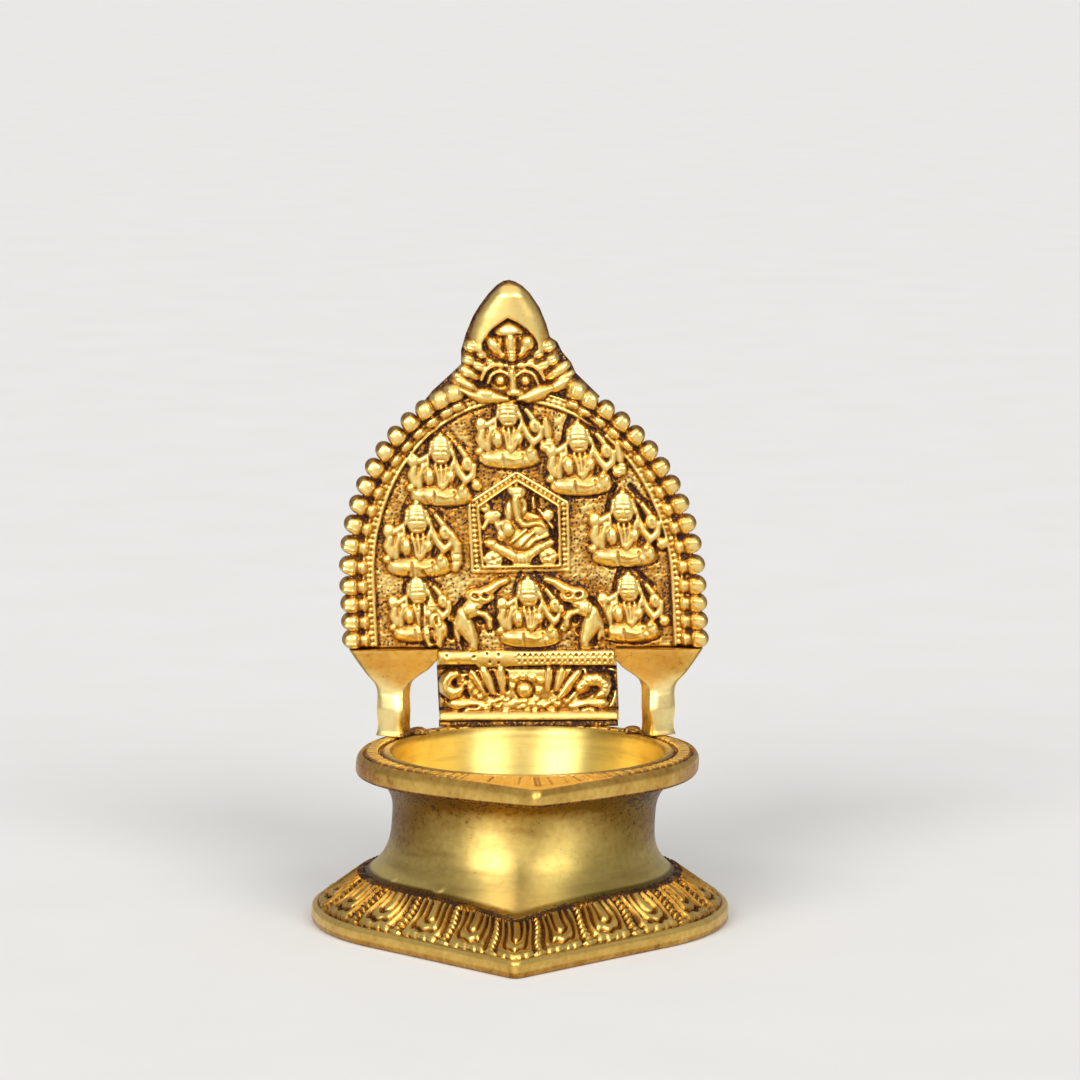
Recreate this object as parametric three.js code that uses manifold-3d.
// A small cast-brass oil lamp: a petalled foot that is open beneath, a turned bowl with a pinched waist,
// a petalled rim with a pointed wick lip, and an arched back plate with seated figures in relief, which
// stands behind the bowl on two legs and on a carved panel. Every joint is brazed and nothing moves.
// Millimetres, +Z up. The wick lip points to -Y. The origin is the middle of the foot's box, at its base.
import * as THREE from 'three';
import { mergeVertices } from 'three/addons/utils/BufferGeometryUtils.js';
import Module from 'manifold-3d';

const wasm = await Module();
wasm.setup();

// Foot
const footFlangeWidth = 9.8;
const footTipOverhang = 15;
const footEdgeHeight = 3.1;
const footEdgeRound = 0.7;
const footRingWidth = 2.8;
const footCrownHeight = 8.9;
const footCrownFrontHeight = 7.3;
const footCrownLip = 0.6;
const footLedgeHeight = 6;
const footLedgeWidth = 3.3;
const footLedgeThickness = 2.6;
const footTwistAngle = -2.3;

// Bowl
const skirtRadius = 28.3;
const skirtReach = 39;
const waistRadius = 24;
const waistHeight = 19;
const shoulderOverhang = 1.7;
const shoulderHeight = 26.9;
const collarWidth = 1.5;
const mouthRadius = 25;
const mouthHeight = 31;
const mouthRound = 0.4;
const bowlWall = 2.1;
const bowlDraft = 0.2;
const bowlFloorHeight = 11.3;
const bowlFloorRadius = 12;
const bowlFloorThickness = 2.6;
const underHollowRadius = 17;
const skirtCurvePowerShare = 3.3;
const coveCurvePowerShare = 3;
const bowlLeanShare = 0.07;

// Rim
const rimWidth = 4.8;
const rimTipOverhang = 15.3;
const rimHeight = 31.2;
const rimRound = 1;
const rimFrontLift = 0.8;
const rimTwistAngle = 0.7;

// Back plate
const plateSetback = 26.8;
const plateThickness = 3;
const plateHalfWidth = 34.2;
const plateBottomHeight = 45.6;
const plateSpringHeight = 58;
const plateArchHeight = 97.5;
const plateOffset = 2.3;
const plateLeanShare = -0.045;
const plateLeanFromHeight = 36;

// Border of the plate
const budLength = 3.9;
const budHalfWidth = 1.65;
const budRise = 1.9;
const budsPerSideCount = 15;
const bandWidth = 1.4;
const bandRise = 0.8;
const bandHalfWidth = 29.4;
const bandArchHeight = 93.6;
const budSideCount = 6;

// Finial leaf and the mask under it
const finialBaseRise = 2.5;
const finialLeafHeight = 14.3;
const finialHalfWidth = 8.6;
const finialRise = 2.6;
const finialShoulderHalfWidth = 13;
const leafCurvePowerShare = 1.7;
const leafTipPowerShare = 0.6;
const maskDrop = 0.3;
const maskHalfWidth = 5.4;
const maskRise = 2.6;

// Panel under the plate
const panelHalfWidth = 16.8;
const panelBrazeHeight = 0.7;
const panelStripHeight = 2.6;
const panelStripRise = 1.2;
const mouldingHeight = 2.5;
const mouldingRise = 1.7;
const panelReliefRise = 1.3;
const mouldingBeadCount = 22;
const fanPetalCount = 9;
const fanSpreadAngle = 150;
const fanPetalWidth = 1.6;
const bossRadius = 1.8;
const scrollRadius = 2.2;
const scrollInset = 3.7;

// Figures on the plate
const figureHeight = 13.4;
const figureHalfWidth = 5.7;
const figureRise = 2.2;
const frameHalfWidth = 9.1;
const frameFootRise = 14.8;
const frameWallHeight = 12.6;
const frameGableHeight = 4.6;
const frameBarWidth = 1.3;
const frameRise = 1.1;
const elephantLength = 8.2;

// Legs and their braze
const legHalfWidth = 2.9;
const legHalfDepth = 2.1;
const legHeadHalfWidth = 8.1;
const legHeadHalfDepth = 2.7;
const legHeadOffset = 25.2;
const legHeadInset = 0.6;
const legCornerShare = 0.35;
const legSpreadAngle = 33;
const legTurnAngle = 28;
const brazeLength = 3.4;
const brazeWidth = 1.9;
const brazeRise = 1.1;

// Fits and the fineness of round stretches
const fitClearance = 0.35;
const overlap = 0.4;
const aroundCount = 48;
const curveStepCount = 6;
const archStepCount = 40;
const roundStepCount = 3;

const radians = THREE.MathUtils.degToRad;
const mix = THREE.MathUtils.lerp;
const footRadius = skirtRadius + footFlangeWidth;
const footReach = skirtReach + footTipOverhang;
const collarRadius = mouthRadius + collarWidth;
const shoulderRadius = collarRadius + shoulderOverhang;
const rimRadius = collarRadius + rimWidth;
const rimReach = collarRadius + rimTipOverhang;
const footY = (footReach * Math.cos(radians(footTwistAngle)) - footRadius) / 2;
const bowlWaistLean = (z) => bowlLeanShare * Math.max(0, z - footCrownHeight);
const plateShift = (z) => plateOffset + plateLeanShare * (z - plateLeanFromHeight);
const groundY = footY + plateSetback;
const finialBaseHeight = plateArchHeight + finialBaseRise;
const finialTipHeight = finialBaseHeight + finialLeafHeight;
const maskHeight = plateArchHeight - maskDrop;
const frameBottomHeight = plateBottomHeight + frameFootRise;
const frameEavesHeight = frameBottomHeight + frameWallHeight;
const framePeakHeight = frameEavesHeight + frameGableHeight;

// A turned or lofted skin: profileAt(angle) gives the same number of [radius, height] points all round.
// A profile that starts and ends on the axis closes there, any other closes on itself.
// place(angle, radius, height) gives the point in space.
function skin(profileAt, place) {
  const positions = [];
  const columns = [];
  const onAxis = profileAt(0)[0][0] === 0;
  const poles = new Map();
  for (let i = 0; i < aroundCount; i += 1) {
    const angle = (2 * Math.PI * i) / aroundCount;
    columns.push(profileAt(angle).map(([radius, height], k) => {
      if (radius === 0 && poles.has(k)) return poles.get(k);
      positions.push(...place(angle, radius, height));
      const index = positions.length / 3 - 1;
      if (radius === 0) poles.set(k, index);
      return index;
    }));
  }
  const triangles = [];
  const count = columns[0].length;
  const spans = onAxis ? count - 1 : count;
  columns.forEach((column, i) => {
    const next = columns[(i + 1) % aroundCount];
    for (let k = 0; k < spans; k += 1) {
      const j = (k + 1) % count;
      if (column[k] !== next[k]) triangles.push(column[k], next[k], column[j]);
      if (column[j] !== next[j]) triangles.push(next[k], next[j], column[j]);
    }
  });
  const geometry = new THREE.BufferGeometry();
  geometry.setAttribute('position', new THREE.Float32BufferAttribute(positions, 3));
  geometry.setIndex(triangles);
  return geometry;
}

// The plan of foot, skirt and rim: a circle with two straight flanks that meet in a point at angle 0.
function teardrop(radius, reach) {
  const half = Math.acos(radius / reach);
  return (angle) => {
    const turn = Math.abs(Math.atan2(Math.sin(angle), Math.cos(angle)));
    return turn < half ? radius / Math.cos(half - turn) : radius;
  };
}

// Angle 0 looks to the front point, twisted by a few degrees where the casting is.
function plan(centreAt, twistAngle) {
  return (angle, radius, height) => {
    const turned = angle + radians(twistAngle);
    const [x, y] = centreAt(height);
    return [x + radius * Math.sin(turned), y - radius * Math.cos(turned), height];
  };
}

const footPlan = teardrop(footRadius, footReach);
const skirtPlan = teardrop(skirtRadius, skirtReach);
const rimPlan = teardrop(rimRadius, rimReach);

// Where the petals of the foot meet the skirt: high at the sides and back, lower at the front point.
function crownHeightAt(angle) {
  const share = (skirtPlan(angle) - skirtRadius) / (skirtReach - skirtRadius);
  return mix(footCrownHeight, footCrownFrontHeight, share);
}

function petalFoot() {
  const profileAt = (angle) => {
    const edge = footPlan(angle);
    const pocket = skirtPlan(angle) + fitClearance;
    const ledge = pocket - footLedgeWidth;
    const crown = crownHeightAt(angle);
    const underside = footLedgeHeight - footLedgeThickness;
    return [
      [edge - footRingWidth, 0],
      [edge - footEdgeRound, 0],
      [edge, footEdgeRound],
      [edge, footEdgeHeight - footEdgeRound],
      [edge - footEdgeRound, footEdgeHeight],
      [pocket + footCrownLip, crown],
      [pocket, crown],
      [pocket, footLedgeHeight],
      [ledge, footLedgeHeight],
      [ledge, underside],
      [pocket, underside],
    ];
  };
  return skin(profileAt, plan(() => [0, footY], footTwistAngle));
}

// The outside of the waist above its narrowest place, swept up to the shoulder under the rim.
function coveRadius(height) {
  const share = Math.max(0, (height - waistHeight) / (shoulderHeight - waistHeight));
  return waistRadius + (shoulderRadius - waistRadius) * share ** coveCurvePowerShare;
}

function bowlBody() {
  const steps = [...Array(curveStepCount + 1).keys()].map((k) => k / curveStepCount);
  const wallAt = (height) => Math.min(mouthRadius - bowlDraft, coveRadius(height) - bowlWall);
  const cornerRadius = wallAt(waistHeight) - bowlFloorRadius;
  const profileAt = (angle) => {
    const edge = skirtPlan(angle);
    const crown = crownHeightAt(angle);
    const points = [
      [0, bowlFloorHeight - bowlFloorThickness],
      [underHollowRadius, bowlFloorHeight - bowlFloorThickness],
      [edge - footLedgeWidth, footLedgeHeight],
      [edge, footLedgeHeight],
    ];
    [...steps].reverse().forEach((share) => {
      const bulge = (edge - waistRadius) * share ** skirtCurvePowerShare;
      points.push([waistRadius + bulge, mix(waistHeight, crown, share)]);
    });
    steps.slice(1).forEach((share) => {
      const height = mix(waistHeight, shoulderHeight, share);
      points.push([coveRadius(height), height]);
    });
    points.push(
      [collarRadius, shoulderHeight],
      [collarRadius, mouthHeight - mouthRound],
      [collarRadius - mouthRound, mouthHeight],
      [mouthRadius + mouthRound, mouthHeight],
      [mouthRadius, mouthHeight - mouthRound],
    );
    [...steps].reverse().forEach((share) => {
      const height = mix(waistHeight, shoulderHeight, share);
      points.push([wallAt(height), height]);
    });
    steps.slice(1).forEach((share) => {
      const turn = (share * Math.PI) / 2;
      const drop = (waistHeight - bowlFloorHeight) * Math.sin(turn);
      points.push([bowlFloorRadius + cornerRadius * Math.cos(turn), waistHeight - drop]);
    });
    points.push([0, bowlFloorHeight]);
    return points;
  };
  return skin(profileAt, plan((z) => [bowlWaistLean(z), footY], footTwistAngle));
}

function petalRim() {
  const bore = collarRadius + fitClearance;
  const profileAt = (angle) => {
    const edge = rimPlan(angle);
    const share = (edge - rimRadius) / (rimReach - rimRadius);
    const lift = shoulderHeight + rimFrontLift * share;
    const points = [[bore, shoulderHeight], [shoulderRadius, shoulderHeight], [edge - rimRound, lift]];
    [0, 1].forEach((upper) => {
      for (let k = 1 - upper; k <= roundStepCount - upper; k += 1) {
        const turn = ((k / roundStepCount + upper) * Math.PI) / 2;
        const height = upper ? rimHeight - rimRound : lift + rimRound;
        points.push([edge - rimRound * (1 - Math.sin(turn)), height - rimRound * Math.cos(turn)]);
      }
    });
    points.push([edge - rimRound, rimHeight], [bore, rimHeight]);
    return points;
  };
  return skin(profileAt, plan((z) => [bowlWaistLean(z), footY], rimTwistAngle));
}

// Solids for joining, and back to a mesh.
function solid(geometry) {
  const bare = geometry.index ? geometry : geometry.clone();
  ['normal', 'uv'].forEach((name) => bare.deleteAttribute(name));
  const merged = mergeVertices(bare);
  return new wasm.Manifold(new wasm.Mesh({
    numProp: 3,
    vertProperties: new Float32Array(merged.attributes.position.array),
    triVerts: new Uint32Array(merged.index.array),
  }));
}

function meshOf(manifold) {
  const { numProp, vertProperties, triVerts } = manifold.getMesh();
  const positions = [];
  for (let i = 0; i < vertProperties.length; i += numProp) positions.push(...vertProperties.slice(i, i + 3));
  const geometry = new THREE.BufferGeometry();
  geometry.setAttribute('position', new THREE.Float32BufferAttribute(positions, 3));
  geometry.setIndex([...triVerts]);
  return geometry;
}

// A plate outline in x and z, from depth `front` to depth `back` along y.
function slab(outline, front, back) {
  const shape = new THREE.Shape(outline.map(([x, z]) => new THREE.Vector2(x, z)));
  const geometry = new THREE.ExtrudeGeometry(shape, { depth: back - front, bevelEnabled: false });
  return geometry.rotateX(Math.PI / 2).translate(0, back, 0);
}

// A lump of the relief: half sizes across, up and out of the ground, turned in the plane of the plate.
function lump([x, z], halfWidth, halfHeight, rise, angle = 0, sides = 8) {
  const ball = new THREE.SphereGeometry(1, sides, sides / 2 + 1);
  ball.scale(halfWidth, rise, halfHeight).rotateY(radians(angle));
  return ball.translate(x, groundY, z);
}

function bead([x, z], halfWidth, halfLength, rise) {
  return new THREE.OctahedronGeometry(1).scale(halfWidth, rise, halfLength).translate(x, groundY, z);
}

// The arch of the plate: straight sides to the spring height, then half an ellipse to the top.
function archPoint(halfWidth, archHeight, turn) {
  return [halfWidth * Math.cos(turn), plateSpringHeight + (archHeight - plateSpringHeight) * Math.sin(turn)];
}

function archPath(halfWidth, archHeight, fromHeight) {
  const points = [[halfWidth, fromHeight]];
  for (let k = 0; k <= archStepCount; k += 1) {
    points.push(archPoint(halfWidth, archHeight, (Math.PI * k) / archStepCount));
  }
  points.push([-halfWidth, fromHeight]);
  return points;
}

// The leaf on top, half an outline from its base to its tip.
function leafHalfWidthAt(share) {
  return finialHalfWidth * (1 - share ** leafCurvePowerShare) ** leafTipPowerShare;
}

function plateOutline() {
  const edge = archPath(plateHalfWidth - budLength / 2, plateArchHeight - budLength / 2, plateBottomHeight);
  const right = edge.filter(([x]) => x >= finialShoulderHalfWidth);
  const leafSteps = 2 * curveStepCount;
  for (let k = 0; k <= leafSteps; k += 1) {
    const share = k / leafSteps;
    right.push([leafHalfWidthAt(share), mix(finialBaseHeight, finialTipHeight, share)]);
  }
  const left = right.slice(0, -1).reverse().map(([x, z]) => [-x, z]);
  return [...right, ...left];
}

function borderSolids() {
  const solids = [];
  const outer = archPath(bandHalfWidth, bandArchHeight, plateBottomHeight);
  const inner = archPath(bandHalfWidth - bandWidth, bandArchHeight - bandWidth, plateBottomHeight);
  solids.push(slab([...outer, ...inner.reverse()], groundY - bandRise, groundY + overlap));
  const reach = plateHalfWidth - budLength / 2;
  const archReach = plateArchHeight - budLength / 2;
  const straight = plateSpringHeight - plateBottomHeight;
  const shoulderTurn = Math.acos(finialShoulderHalfWidth / plateHalfWidth);
  const spacing = (straight + shoulderTurn * reach) / budsPerSideCount;
  for (let k = 0; k < budsPerSideCount; k += 1) {
    const along = (k + 1 / 2) * spacing;
    const turn = Math.max(0, (along - straight) / reach);
    const [x, arched] = archPoint(reach, archReach, turn);
    const z = along < straight ? plateBottomHeight + along : arched;
    [1, -1].forEach((side) => {
      const angle = side * (90 - THREE.MathUtils.radToDeg(turn));
      solids.push(lump([side * x, z], budHalfWidth, budLength / 2, budRise, angle, budSideCount));
    });
  }
  return solids;
}

// One seated figure with four arms, as shares of a figure's half width, height and rise.
const figureLumpShares = [
  { at: [0, -0.37], size: [0.98, 0.125, 0.75], turn: 0 },
  { at: [-0.55, -0.27], size: [0.34, 0.1, 0.85], turn: 20 },
  { at: [0.55, -0.27], size: [0.34, 0.1, 0.85], turn: -20 },
  { at: [0, -0.08], size: [0.4, 0.22, 0.9], turn: 0 },
  { at: [0, 0.2], size: [0.27, 0.13, 1], turn: 0 },
  { at: [0, 0.36], size: [0.24, 0.14, 0.8], turn: 0 },
  { at: [-0.52, -0.04], size: [0.2, 0.17, 0.6], turn: 24 },
  { at: [0.52, -0.04], size: [0.2, 0.17, 0.6], turn: -24 },
  { at: [-0.76, 0.14], size: [0.17, 0.15, 0.55], turn: -14 },
  { at: [0.76, 0.14], size: [0.17, 0.15, 0.55], turn: 14 },
];

// The places of the seated figures, as shares of the plate's half width and of the height above its foot.
const figurePlaceShares = [
  [-0.045, 0.772], [0.35, 0.69], [-0.415, 0.636], [0.6, 0.452], [-0.56, 0.394],
  [-0.6, 0.13], [0.595, 0.15], [0.025, 0.145],
];

function figureSolids([x, z]) {
  return figureLumpShares.map(({ at, size, turn }) => lump(
    [x + at[0] * figureHalfWidth, z + at[1] * figureHeight],
    size[0] * figureHalfWidth,
    size[1] * figureHeight,
    size[2] * figureRise,
    turn,
  ));
}

// The middle figure sits in a house-shaped frame; its trunk hangs to one side.
const middleLumpShares = [
  { at: [0, -0.34], size: [1.05, 0.14, 0.8], turn: 0 },
  { at: [0, -0.1], size: [0.62, 0.24, 1], turn: 0 },
  { at: [0, 0.2], size: [0.4, 0.15, 1], turn: 0 },
  { at: [0.42, 0.2], size: [0.22, 0.14, 0.6], turn: 8 },
  { at: [-0.42, 0.2], size: [0.22, 0.14, 0.6], turn: -8 },
  { at: [0.08, 0.04], size: [0.14, 0.17, 1.15], turn: 16 },
  { at: [0, 0.38], size: [0.28, 0.12, 0.7], turn: 0 },
  { at: [-0.76, 0.02], size: [0.18, 0.2, 0.55], turn: 20 },
  { at: [0.76, 0.02], size: [0.18, 0.2, 0.55], turn: -20 },
];

function middleSolids() {
  const solids = [];
  const outer = [
    [-frameHalfWidth, frameBottomHeight], [frameHalfWidth, frameBottomHeight],
    [frameHalfWidth, frameEavesHeight], [0, framePeakHeight], [-frameHalfWidth, frameEavesHeight],
  ];
  const hole = [
    [-frameHalfWidth + frameBarWidth, frameBottomHeight + frameBarWidth],
    [frameHalfWidth - frameBarWidth, frameBottomHeight + frameBarWidth],
    [frameHalfWidth - frameBarWidth, frameEavesHeight - frameBarWidth / 2],
    [0, framePeakHeight - frameBarWidth],
    [-frameHalfWidth + frameBarWidth, frameEavesHeight - frameBarWidth / 2],
  ];
  const bar = solid(slab(outer, groundY - frameRise, groundY + overlap));
  const cut = solid(slab(hole, groundY - frameRise - overlap, groundY + 2 * overlap));
  solids.push(meshOf(bar.subtract(cut)));
  const middle = (frameBottomHeight + frameEavesHeight) / 2;
  middleLumpShares.forEach(({ at, size, turn }) => {
    solids.push(lump([at[0] * figureHalfWidth, middle + at[1] * figureHeight],
      size[0] * figureHalfWidth, size[1] * figureHeight, size[2] * figureRise, turn));
  });
  return solids;
}

// An elephant in profile, rearing towards the figure between the pair, as shares of its length.
const elephantLumpShares = [
  { at: [0.1, 0], size: [0.34, 0.24, 0.2], turn: -35 },
  { at: [-0.2, 0.2], size: [0.21, 0.18, 0.22], turn: 0 },
  { at: [-0.42, 0.34], size: [0.2, 0.07, 0.16], turn: 40 },
  { at: [0.3, -0.35], size: [0.1, 0.24, 0.16], turn: 8 },
  { at: [0.04, -0.36], size: [0.09, 0.22, 0.16], turn: -10 },
  { at: [-0.24, -0.14], size: [0.08, 0.18, 0.15], turn: 35 },
];
const elephantPlaceShares = [[-0.225, 0.17], [0.3, 0.17]];

function elephantSolids() {
  return elephantPlaceShares.flatMap(([x, z], k) => {
    const facing = k === 0 ? -1 : 1;
    return elephantLumpShares.map(({ at, size, turn }) => lump(
      [x * plateHalfWidth + facing * at[0] * elephantLength, plateHeightAt(z) + at[1] * elephantLength],
      size[0] * elephantLength,
      size[1] * elephantLength,
      size[2] * elephantLength,
      facing * turn,
    ));
  });
}

function plateHeightAt(share) {
  return mix(plateBottomHeight, plateArchHeight, share);
}

// The lion mask with its curling tufts, the small head above it and the smooth leaf behind them.
const maskLumpShares = [
  { at: [0, 0], size: [1, 0.62, 0.8], turn: 0 },
  { at: [-0.42, 0.2], size: [0.26, 0.24, 1.05], turn: 0 },
  { at: [0.42, 0.2], size: [0.26, 0.24, 1.05], turn: 0 },
  { at: [0, -0.12], size: [0.3, 0.22, 1.15], turn: 0 },
  { at: [-0.5, -0.42], size: [0.5, 0.2, 0.95], turn: -22 },
  { at: [0.5, -0.42], size: [0.5, 0.2, 0.95], turn: 22 },
  { at: [-1.45, -0.2], size: [0.75, 0.22, 0.75], turn: 22 },
  { at: [1.45, -0.2], size: [0.75, 0.22, 0.75], turn: -22 },
  { at: [-1.3, 0.2], size: [0.55, 0.2, 0.75], turn: 38 },
  { at: [1.3, 0.2], size: [0.55, 0.2, 0.75], turn: -38 },
  { at: [-1.1, 0.75], size: [0.4, 0.3, 0.7], turn: 20 },
  { at: [1.1, 0.75], size: [0.4, 0.3, 0.7], turn: -20 },
  { at: [0, 1.2], size: [0.5, 0.62, 1.2], turn: 0 },
  { at: [-0.62, 1.2], size: [0.34, 0.26, 0.9], turn: -30 },
  { at: [0.62, 1.2], size: [0.34, 0.26, 0.9], turn: 30 },
];

function crownSolids() {
  const solids = maskLumpShares.map(({ at, size, turn }) => lump(
    [at[0] * maskHalfWidth, maskHeight + at[1] * maskHalfWidth],
    size[0] * maskHalfWidth,
    size[1] * maskHalfWidth,
    size[2] * maskRise,
    turn,
  ));
  const leaf = new THREE.ConeGeometry(finialHalfWidth, finialLeafHeight, aroundCount / 4, curveStepCount);
  const places = leaf.attributes.position;
  for (let i = 0; i < places.count; i += 1) {
    const share = THREE.MathUtils.clamp(places.getY(i) / finialLeafHeight + 1 / 2, 0, 1);
    const slope = 1 - share;
    const swell = slope > 0 ? leafHalfWidthAt(share) / (finialHalfWidth * slope) : 0;
    const x = places.getX(i) * swell;
    const y = (-places.getZ(i) * swell * finialRise) / finialHalfWidth;
    places.setXYZ(i, x, groundY + y, mix(finialBaseHeight, finialTipHeight, share));
  }
  solids.push(leaf);
  return solids;
}

// The panel: a plain strip at its foot, the beaded moulding over it, and a fan of petals with a boss
// between two scrolls. Places on the panel are shares of the height between strip and moulding.
const fanLengthShares = { middle: 0.84, side: 1.13 };
const fanMiddleShare = 0.5;
const bossHeightShare = 0.35;
const scrollHeightShares = { foot: 0.14, eye: 0.62, curl: 0.9 };

function panelSolids() {
  const bottom = rimHeight + panelBrazeHeight;
  const mouldingBottom = plateBottomHeight - mouldingHeight;
  const box = (low, high, rise) => slab(
    [[-panelHalfWidth, low], [panelHalfWidth, low], [panelHalfWidth, high], [-panelHalfWidth, high]],
    groundY - rise,
    groundY + plateThickness,
  );
  const solids = [
    box(bottom, plateBottomHeight + overlap, 0),
    box(bottom, bottom + panelStripHeight, panelStripRise),
    box(mouldingBottom, plateBottomHeight, mouldingRise - panelStripRise / 2),
  ];
  const pitch = (2 * panelHalfWidth) / mouldingBeadCount;
  for (let k = 0; k < mouldingBeadCount; k += 1) {
    const x = -panelHalfWidth + (k + 1 / 2) * pitch;
    const z = (mouldingBottom + plateBottomHeight) / 2;
    solids.push(bead([x, z], pitch / 2, mouldingHeight / 2, mouldingRise + panelStripRise / 2));
  }
  const fanFoot = bottom + panelStripHeight;
  const fanHeight = mouldingBottom - fanFoot;
  const heightAt = (share) => fanFoot + share * fanHeight;
  for (let k = 0; k < fanPetalCount; k += 1) {
    const angle = mix(-fanSpreadAngle / 2, fanSpreadAngle / 2, k / (fanPetalCount - 1));
    const lean = radians(angle);
    const length = fanHeight * mix(fanLengthShares.middle, fanLengthShares.side, Math.abs(Math.sin(lean)));
    const reach = (length + scrollRadius) * fanMiddleShare;
    const middle = [reach * Math.sin(lean), fanFoot + length * fanMiddleShare * Math.cos(lean)];
    solids.push(lump(middle, fanPetalWidth / 2, length / 2, panelReliefRise, angle));
  }
  solids.push(lump([0, heightAt(bossHeightShare)], bossRadius, bossRadius, panelReliefRise + bandRise));
  [1, -1].forEach((side) => {
    const x = side * (panelHalfWidth - scrollInset);
    const { foot, eye, curl } = scrollHeightShares;
    const out = (side * scrollRadius) / 2;
    solids.push(lump([x, heightAt(eye)], scrollRadius, scrollRadius, panelReliefRise));
    solids.push(lump([x + out, heightAt(curl)], scrollRadius, scrollRadius / 2, panelReliefRise));
    solids.push(lump([x - out, heightAt(foot)], scrollRadius, scrollRadius / 3, panelReliefRise));
  });
  return solids;
}

function backPlate() {
  let plate = solid(slab(plateOutline(), groundY, groundY + plateThickness));
  const relief = [
    ...panelSolids(), ...borderSolids(), ...middleSolids(), ...elephantSolids(), ...crownSolids(),
    ...figurePlaceShares.flatMap(([x, z]) => figureSolids([x * plateHalfWidth, plateHeightAt(z)])),
  ];
  relief.forEach((piece) => { plate = plate.add(solid(piece)); });
  const geometry = meshOf(plate);
  const places = geometry.attributes.position;
  const rear = groundY + plateThickness;
  for (let i = 0; i < places.count; i += 1) {
    places.setX(i, places.getX(i) + plateShift(places.getZ(i)));
    places.setY(i, Math.min(places.getY(i), rear));
  }
  return geometry;
}

// A leg: an eight-sided shank from the rim that sweeps back and widens into the head under the plate.
// rise and head run from foot to head, back is the move towards the plate, swell is the shank's own shape.
const legStationShares = [
  { rise: 0, head: 0, back: 0, swell: 1 },
  { rise: 0.14, head: 0, back: 0.01, swell: 0.93 },
  { rise: 0.34, head: 0, back: 0.04, swell: 1.08 },
  { rise: 0.52, head: 0.03, back: 0.1, swell: 0.94 },
  { rise: 0.62, head: 0.12, back: 0.22, swell: 1 },
  { rise: 0.72, head: 0.42, back: 0.42, swell: 1 },
  { rise: 0.86, head: 0.8, back: 0.72, swell: 1 },
  { rise: 1, head: 1, back: 1, swell: 1 },
];

function legFoot(side) {
  const radius = (collarRadius + fitClearance + rimRadius) / 2;
  const spread = radians(legSpreadAngle);
  return [bowlWaistLean(rimHeight) + side * radius * Math.cos(spread), footY + radius * Math.sin(spread)];
}

function leg(side) {
  const [footX, footDepth] = legFoot(side);
  const headX = plateShift(plateBottomHeight) + side * legHeadOffset;
  const headDepth = groundY + plateThickness - legHeadHalfDepth - legHeadInset / 2;
  const rings = legStationShares.map(({ rise, head, back, swell }) => {
    const halfWidth = mix(legHalfWidth * swell, legHeadHalfWidth, head);
    const halfDepth = mix(legHalfDepth, legHeadHalfDepth, head);
    const corner = legCornerShare * Math.min(halfWidth, halfDepth);
    const turn = -side * radians(legTurnAngle) * (1 - head);
    const centre = [mix(footX, headX, back), mix(footDepth, headDepth, back)];
    const section = [
      [halfWidth, -halfDepth + corner], [halfWidth, halfDepth - corner],
      [halfWidth - corner, halfDepth], [-halfWidth + corner, halfDepth],
      [-halfWidth, halfDepth - corner], [-halfWidth, -halfDepth + corner],
      [-halfWidth + corner, -halfDepth], [halfWidth - corner, -halfDepth],
    ];
    return section.map(([u, v]) => [
      centre[0] + u * Math.cos(turn) + v * Math.sin(turn),
      centre[1] - u * Math.sin(turn) + v * Math.cos(turn),
      mix(rimHeight, plateBottomHeight, rise),
    ]);
  });
  return loft(rings);
}

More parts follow.
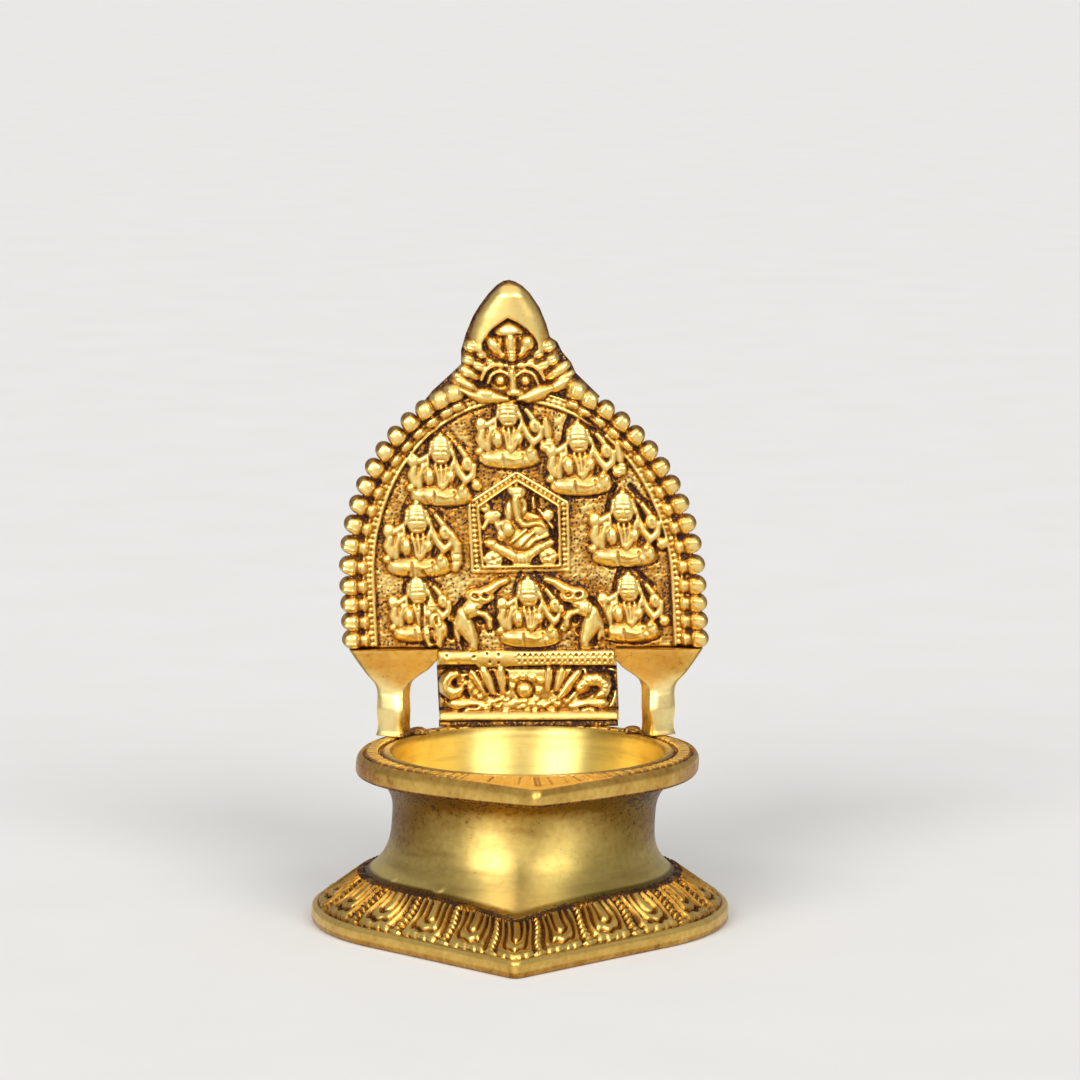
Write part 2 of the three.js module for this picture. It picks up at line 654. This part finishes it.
// Rings of points, low to high and anticlockwise from above, closed with a flat fan at each end.
function loft(rings) {
  const count = rings[0].length;
  const triangles = [];
  for (let r = 0; r < rings.length - 1; r += 1) {
    for (let i = 0; i < count; i += 1) {
      const j = (i + 1) % count;
      const low = r * count;
      const high = low + count;
      triangles.push(low + i, low + j, high + i, low + j, high + j, high + i);
    }
  }
  const last = (rings.length - 1) * count;
  for (let i = 1; i < count - 1; i += 1) {
    triangles.push(0, i + 1, i, last, last + i, last + i + 1);
  }
  const geometry = new THREE.BufferGeometry();
  geometry.setAttribute('position', new THREE.Float32BufferAttribute(rings.flat(2), 3));
  geometry.setIndex(triangles);
  return geometry;
}

// A lump of braze on the rim at the inner side of a leg's foot, flat where it lies.
function legBraze(side) {
  const [x, y] = legFoot(side);
  const away = legHalfWidth + brazeWidth + fitClearance;
  const turn = radians(legTurnAngle);
  const ball = new THREE.SphereGeometry(1, 10, 8);
  ball.scale(brazeWidth, brazeLength / 2, brazeRise).rotateZ(side * turn);
  ball.translate(x - side * away * Math.cos(turn), y + away * Math.sin(turn), rimHeight);
  const reach = 2 * (away + brazeLength);
  const under = new THREE.BoxGeometry(reach, reach, 2 * brazeRise);
  under.translate(x, y, rimHeight - brazeRise);
  return meshOf(solid(ball).subtract(solid(under)));
}

// The strip of braze between the rim and the panel's foot.
function panelBraze() {
  const inset = panelStripRise / 2;
  const halfWidth = panelHalfWidth - inset;
  const front = groundY - panelStripRise + inset;
  const back = groundY + plateThickness - inset;
  const strip = new THREE.BoxGeometry(2 * halfWidth, back - front, panelBrazeHeight);
  const height = rimHeight + panelBrazeHeight / 2;
  return strip.translate(plateShift(rimHeight), (front + back) / 2, height);
}

const brass = { color: 0xc79a3d, roughness: 0.3, metalness: 1 };
const agedBrass = { color: 0xa87a2c, roughness: 0.42, metalness: 1 };
const polishedBrass = { color: 0xe0bd62, roughness: 0.18, metalness: 1 };
const braze = { color: 0x6e5a3a, roughness: 0.6, metalness: 0.8 };

const lamp = new THREE.Group();
function add(name, geometry, finish) {
  geometry.computeVertexNormals();
  const mesh = new THREE.Mesh(geometry, new THREE.MeshStandardMaterial(finish));
  mesh.name = name;
  lamp.add(mesh);
}

add('petal_foot', petalFoot(), agedBrass);
add('bowl_body', bowlBody(), brass);
add('petal_rim', petalRim(), agedBrass);
add('back_plate', backPlate(), agedBrass);
add('left_leg', leg(-1), polishedBrass);
add('right_leg', leg(1), polishedBrass);
add('left_leg_braze', legBraze(-1), braze);
add('right_leg_braze', legBraze(1), braze);
add('panel_braze', panelBraze(), braze);

export default lamp;
